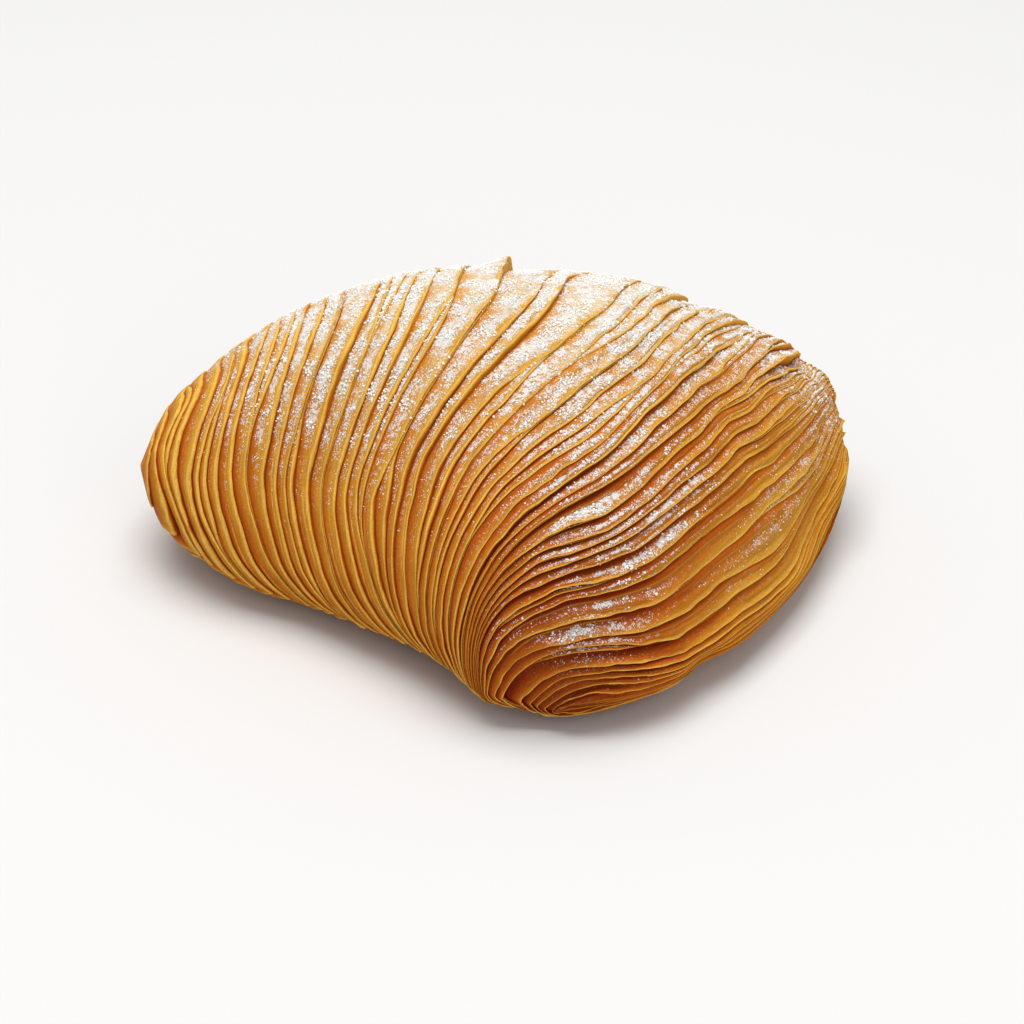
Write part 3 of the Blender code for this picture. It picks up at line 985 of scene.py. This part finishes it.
def colourRamp(tree, value, stops):
    node = addNode(tree, "ShaderNodeValToRGB", {"Fac": value})
    ramp = node.color_ramp
    ramp.elements[0].position, ramp.elements[0].color = stops[0][0], (*stops[0][1], 1)
    ramp.elements[1].position, ramp.elements[1].color = stops[-1][0], (*stops[-1][1], 1)
    for position, colour in stops[1:-1]:
        ramp.elements.new(position).color = (*colour, 1)
    return node.outputs["Color"]


def mixColour(tree, factor, a, b, blend="MIX"):
    node = tree.nodes.new("ShaderNodeMix")
    node.data_type = "RGBA"
    node.blend_type = blend
    for socket, value in ((node.inputs[0], factor), (node.inputs[6], a), (node.inputs[7], b)):
        if isinstance(value, bpy.types.NodeSocket):
            tree.links.new(value, socket)
        else:
            socket.default_value = value if not isinstance(value, tuple) else (*value, 1)
    return node.outputs[2]


def attribute(tree, title):
    return addNode(tree, "ShaderNodeAttribute", attribute_name=title).outputs["Fac"]


crust = dict(
    # the crease and underside stops are lightened as painted glow; the lip stops are paler as the thin
    # edge's own colour and as painted highlight
    ramp=(                           # from the crease over the lip to the underside
        (0.00, (0.70, 0.315, 0.034)),
        (0.06, (0.64, 0.285, 0.028)),
        (0.20, (0.57, 0.262, 0.024)),
        (0.44, (0.56, 0.276, 0.026)),
        (0.58, (0.60, 0.315, 0.036)),
        (0.64, (0.71, 0.430, 0.088)),
        (0.74, (0.71, 0.425, 0.078)),
        (0.82, (0.74, 0.385, 0.045)),
        (0.95, (0.74, 0.320, 0.026)),
    ),
    # painted shade, with some real browning in it
    shaded=(0.44, 0.088, 0.006),     # a little way down a crease
    sheetEdge=(0.76, 0.46, 0.08),
    # painted shade, with some real browning in it
    creviceBrownAndShade=(0.19, 0.010, 0.004),    # at the bottom of a deep one
    darkest=(0.40, 0.12, 0.012),
    roughness=0.5,
    shine=0.01,
    glow=0.30,                       # light that passes through the thin edges
    glowReach=(1.0 * mm, 0.40 * mm, 0.10 * mm),
    streaks=(356.2, 52.0),           # to a unit of share and of turn
    clouds=70.0,                     # to the metre, as the next ones
    stipple=3200.0,
    roughGrain=1500.0,
    bumps=0.12 * mm,
    bumpStrength=0.55,
)

powder = dict(
    colour=(0.69, 0.68, 0.665),
    veiled=(0.68, 0.51, 0.28),       # thin sugar that the crust shows through
    specks=5500.0,                   # to the metre, as the next ones
    clots=1900.0,
    heaps=1100.0,
    patches=260.0,
)


def crustColourAndShade(tree, where, streak):
    # gold on the tops and lips, browner and redder down the creases as real browning and painted shade, with
    # uneven baking over it
    below = attribute(tree, "deep")
    colour = colourRamp(tree, attribute(tree, "step"), crust["ramp"])
    # painted shade down the creases, over some real browning
    colour = mixColour(tree, mapRange(tree, below, 0.10, 0.62, 0.0, 0.95), colour, crust["shaded"])
    colour = mixColour(tree, mapRange(tree, below, 0.45, 0.95, 0.0, 0.95), colour, crust["creviceBrownAndShade"])
    shown = mathNode(tree, "POWER", attribute(tree, "shows"), 4.0)
    colour = mixColour(tree, product(tree, shown, 0.45), colour, crust["sheetEdge"])

    # browning in soft clouds and from fold to fold
    cloud = noise(tree, where, crust["clouds"], 3.0)
    cloud = mathNode(tree, "ADD", cloud, product(tree, attribute(tree, "tone"), 0.25))
    browned = product(tree, mapRange(tree, cloud, 0.45, 0.95), 0.30)
    colour = mixColour(tree, browned, colour, crust["darkest"])

    stipple = noise(tree, where, crust["stipple"], 2.0, 0.7)
    shade = product(tree, mapRange(tree, streak, 0.25, 0.75, 0.80, 1.16, "LINEAR"),
                    mapRange(tree, stipple, 0.30, 0.70, 0.86, 1.12, "LINEAR"))
    grey = addNode(tree, "ShaderNodeCombineXYZ", {"X": shade, "Y": shade, "Z": shade}).outputs[0]
    return mixColour(tree, 1.0, colour, grey, "MULTIPLY")


def powderOver(tree, where, colour):
    # fine grains, more of them the more sugar lies there, in small heaps over a thin veil
    settled = attribute(tree, "sugar")
    speck = addNode(tree, "ShaderNodeTexVoronoi", {"Vector": where, "Scale": powder["specks"]})
    chance = addNode(tree, "ShaderNodeSeparateColor", {0: speck.outputs["Color"]}).outputs[0]
    heap = noise(tree, where, powder["heaps"], 2.0, 0.6)
    patch = noise(tree, where, powder["patches"], 3.0)
    heaped = product(tree, mapRange(tree, heap, 0.36, 0.64, 0.35, 1.5, "LINEAR"),
                     mapRange(tree, patch, 0.36, 0.64, 0.15, 1.3, "LINEAR"))
    lying = mathNode(tree, "MINIMUM", product(tree, settled, heaped), 0.95)
    grains = mapRange(tree, mathNode(tree, "SUBTRACT", lying, chance), -0.04, 0.10)
    veil = product(tree, mapRange(tree, settled, 0.10, 0.85, 0.0, 0.90),
                   mapRange(tree, attribute(tree, "deep"), 0.08, 0.30, 1.0, 0.20))
    colour = mixColour(tree, veil, colour, powder["veiled"])
    clot = mathNode(tree, "SUBTRACT", noise(tree, where, powder["clots"], 5.0, 0.72), 0.5)
    clot = mathNode(tree, "ADD", lying, product(tree, clot, 3.4))
    haze = mapRange(tree, clot, 0.50, 0.85, 0.0, 0.90)
    seen = mapRange(tree, settled, 0.03, 0.35, 0.22, 0.85)
    white = mathNode(tree, "MAXIMUM", product(tree, grains, seen), haze)
    return white, mixColour(tree, white, colour, powder["colour"])


def crustMaterial():
    material, shader = newMaterial("crust", crust["roughness"])
    tree = material.node_tree
    shader.inputs["Specular IOR Level"].default_value = crust["shine"]
    shader.inputs["Subsurface Weight"].default_value = crust["glow"]
    shader.inputs["Subsurface Radius"].default_value = crust["glowReach"]
    shader.inputs["Subsurface Scale"].default_value = 1.0
    where = addNode(tree, "ShaderNodeTexCoord").outputs["Object"]

    # thin streaks that run along the folds
    across, roundIt = crust["streaks"]
    onFold = addNode(tree, "ShaderNodeCombineXYZ", {"X": product(tree, attribute(tree, "share"), across),
                                                    "Y": product(tree, attribute(tree, "turn"), roundIt)})
    streak = noise(tree, onFold.outputs[0], 1.0, 3.0, 0.6)

    white, colour = powderOver(tree, where, crustColourAndShade(tree, where, streak))
    rough = mathNode(tree, "ADD", crust["roughness"], product(tree, white, 0.4))
    grain = noise(tree, where, crust["roughGrain"], 3.0)
    height = mathNode(tree, "ADD", product(tree, white, 0.8), product(tree, grain, 0.35))
    height = mathNode(tree, "ADD", height, product(tree, streak, 1.2))
    bump = addNode(tree, "ShaderNodeBump",
                   {"Strength": crust["bumpStrength"], "Distance": crust["bumps"], "Height": height})
    for value, socket in ((colour, "Base Color"), (rough, "Roughness"), (bump.outputs[0], "Normal")):
        tree.links.new(value, shader.inputs[socket])
    return material


def sugarMaterial():
    material, shader = newMaterial("sugar", sugar["roughness"])
    shader.inputs["Base Color"].default_value = (*sugar["colour"], 1)
    shader.inputs["Specular IOR Level"].default_value = sugar["shine"]
    return material


crustFinish = crustMaterial()
raiser = raiseTree()
pieceNames = ("noseFolds", "browFolds", "shoulderFolds", "crestFolds", "flankFolds", "cornerFolds",
              "mouthFolds")     # the folds in seven slices, which keeps each mesh light
splits = np.linspace(0, foldCount, len(pieceNames) + 1).round().astype(int)
pastryPieces = bpy.data.collections.new("pastryPieces")
for number, name in enumerate(pieceNames):
    piece = foldPiece(name, splits[number], splits[number + 1])
    addDusting(piece)
    bakeNodes(piece, raiser, {"Material": crustFinish})
    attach(piece, "root")
    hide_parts("pastry")
    pastryPieces.objects.link(piece)
    print(name, "made,", len(piece.data.polygons), "faces")

sugarFinish = sugarMaterial()
for name in ("fineSugar", "sugarLumps"):
    kind = sugar[name]
    grains = bpy.data.objects.new(name, bpy.data.meshes.new(name))
    bpy.context.collection.objects.link(grains)
    bakeNodes(grains, sugarTree(name, kind["faces"]), {
        "Pastry": pastryPieces, "Grains per square metre": kind["many"], "Smallest": kind["smallest"],
        "Largest": kind["largest"], "Starts at": kind["starts"], "Seed": kind["seed"],
        "Material": sugarFinish})
    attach(grains, "root")
    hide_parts("pastry")
    print(name, "made,", len(grains.data.polygons) // kind["faces"], "grains")


studio = dict(
    floorColour=(0.68, 0.685, 0.69),
    floorRoughness=0.9,
    floorSize=6.0,
    floorGap=0.1 * mm,    # below the base
    worldLight=0.50,
    lamps=dict(           # place, size, power, colour
        key=((-0.06, 0.02, 0.98), 0.75, 9.6, (1.0, 0.98, 0.95)),
        fill=((0.35, -0.80, 0.50), 0.7, 1.9, (1.0, 0.98, 0.96)),
    ),
)


def floorMaterial():
    material, shader = newMaterial("paleFloor", studio["floorRoughness"])
    shader.inputs["Base Color"].default_value = (*studio["floorColour"], 1)
    return material


def addFloor():
    height = nodeLow[2] - studio["floorGap"]
    bpy.ops.mesh.primitive_plane_add(size=studio["floorSize"], location=(0, 0, height))
    floor = bpy.context.object
    floor.name = "floor"
    floor.data.materials.append(floorMaterial())


def addLights():
    for name, (place, size, power, colour) in studio["lamps"].items():
        light = bpy.data.lights.new(name, "AREA")
        light.size = size
        light.energy = power
        light.color = colour
        lamp = bpy.data.objects.new(name, light)
        bpy.context.collection.objects.link(lamp)
        lamp.location = place
        away = np.array(place) / np.linalg.norm(place)     # it shines at the middle of the floor
        lamp.rotation_euler = (math.acos(away[2]), 0.0, math.atan2(away[1], away[0]) + math.pi / 2)
    world = bpy.data.worlds.new("studio")
    bpy.context.scene.world = world
    world.use_nodes = True
    background = world.node_tree.nodes["Background"]
    background.inputs["Color"].default_value = (1, 1, 1, 1)
    background.inputs["Strength"].default_value = studio["worldLight"]


view = dict(
    elevation=32.0,       # degrees
    distance=0.48,
    lens=109.6,
    sensor=36.0,
    nearest=0.01,
    aimRight=2.5 * mm,    # of the pastry's middle
    aimDown=4.1 * mm,
    aimHeight=17.8 * mm,
)


def addCamera():
    lens = bpy.data.cameras.new("camera")
    lens.lens = view["lens"]
    lens.sensor_width = view["sensor"]
    lens.clip_start = view["nearest"]
    camera = bpy.data.objects.new("camera", lens)
    bpy.context.collection.objects.link(camera)
    tilt = math.radians(view["elevation"])
    up = np.array((0.0, math.sin(tilt), math.cos(tilt)))
    ahead = np.array((0.0, math.cos(tilt), -math.sin(tilt)))
    aim = baseCentre + (view["aimRight"], 0, view["aimHeight"]) - up * view["aimDown"]
    camera.location = aim - ahead * view["distance"]
    camera.rotation_euler = (math.pi / 2 - tilt, 0, 0)
    bpy.context.scene.camera = camera


addFloor()
addLights()
addCamera()
bpy.context.scene.view_settings.view_transform = "Standard"
print("floor, lights and camera in place")
